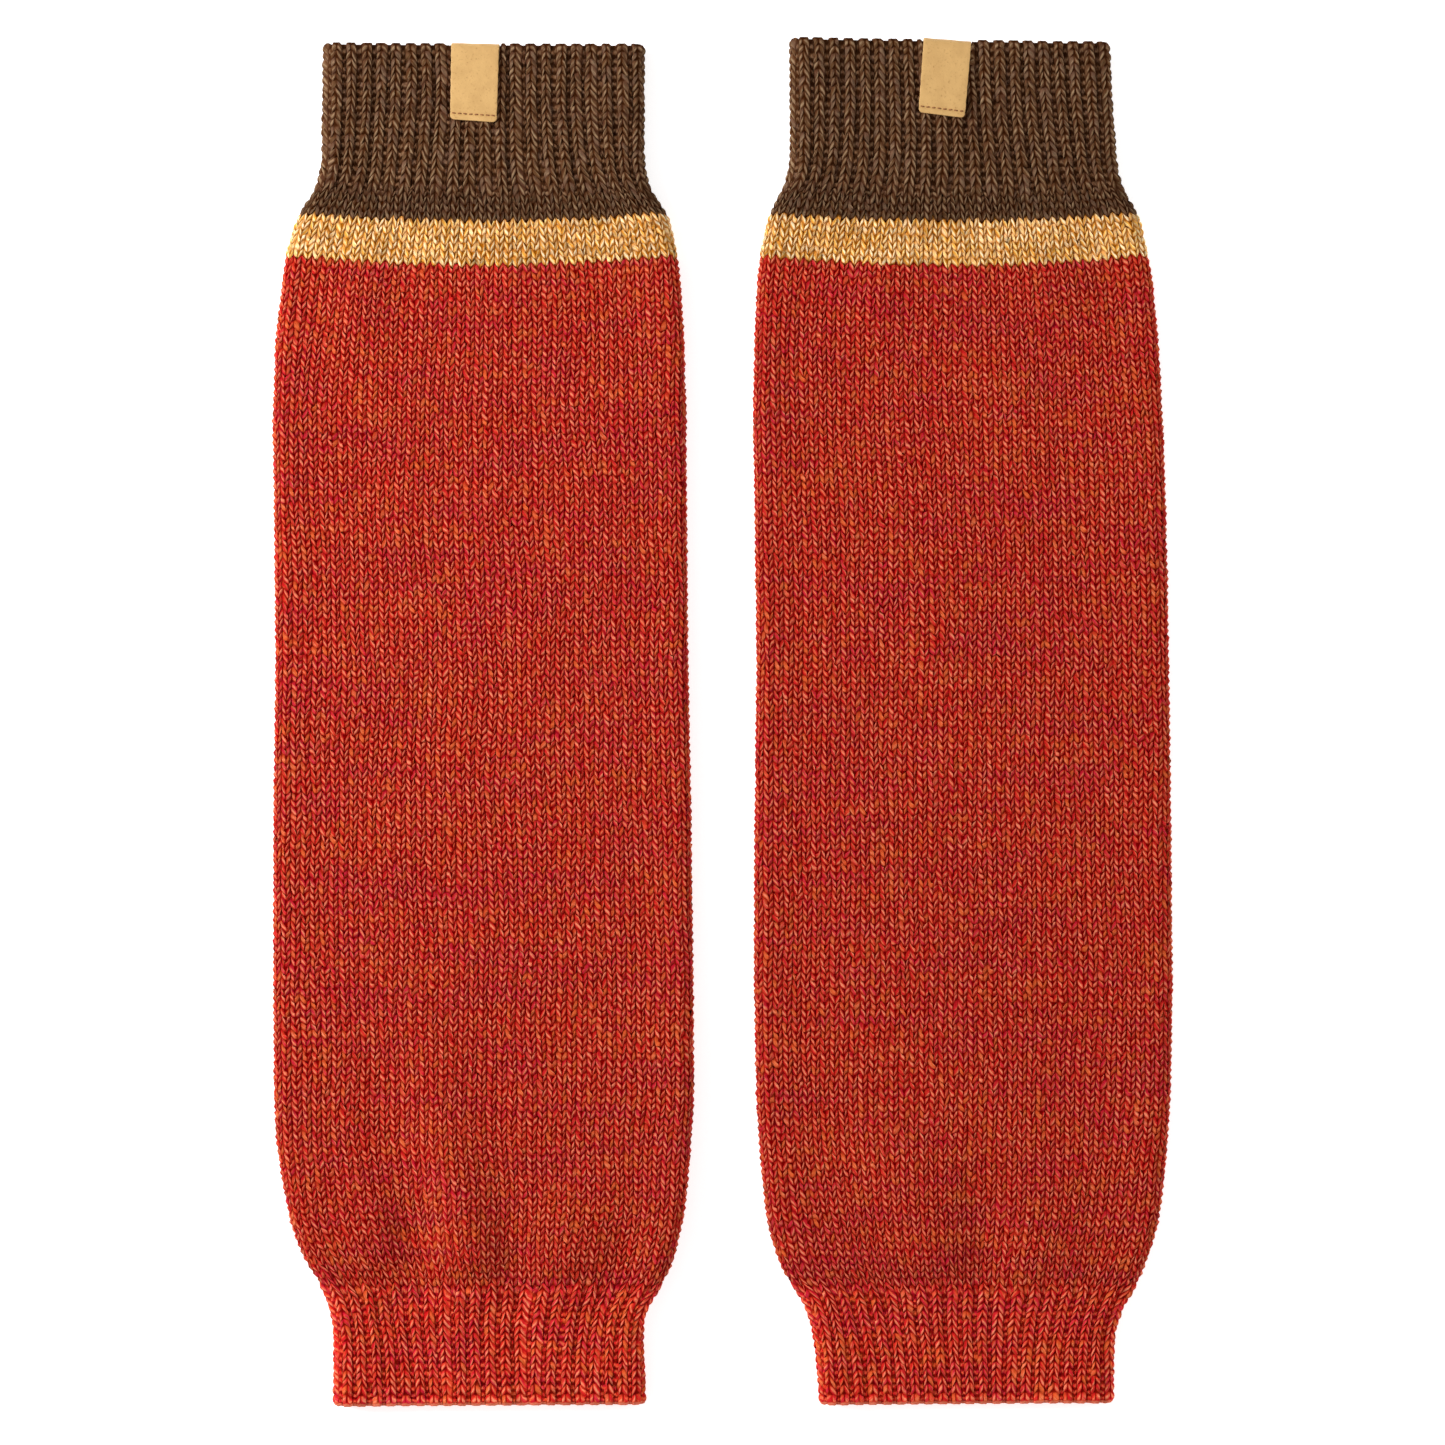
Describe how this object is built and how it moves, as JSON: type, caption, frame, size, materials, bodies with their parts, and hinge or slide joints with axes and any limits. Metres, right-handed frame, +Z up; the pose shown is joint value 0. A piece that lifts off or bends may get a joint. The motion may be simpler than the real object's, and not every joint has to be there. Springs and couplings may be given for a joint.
{
  "type": "pair of knitted leg warmers",
  "caption": "Pair of long knitted tubes laid flat side by side, each with a ribbed ankle, plain leg, contrast stripe, ribbed cuff and folded leather label",
  "frame": {"origin": "middle of the pair's footprint, on the surface that the pair lies on", "axes": "+Z up out of the surface, +Y from the ankle ends to the cuffs, +X to the right as the labels are seen"},
  "size_m": [0.2808, 0.4278, 0.0111],
  "materials": {
    "brown_rib": "brown marled wool yarn, 1x1 rib",
    "stripe_yarn": "golden marled wool yarn, plain knitting",
    "leg_yarn": "red marled wool yarn, plain knitting and 1x1 rib",
    "label_leather": "tan leather, matt, fine grain"
  },
  "bodies": {
    "root": {"left_cuff": "brown_rib", "left_stripe": "stripe_yarn", "left_leg": "leg_yarn", "left_ankle": "leg_yarn", "left_label": "label_leather", "right_cuff": "brown_rib", "right_stripe": "stripe_yarn", "right_leg": "leg_yarn", "right_ankle": "leg_yarn", "right_label": "label_leather"}
  },
  "joints": []
}
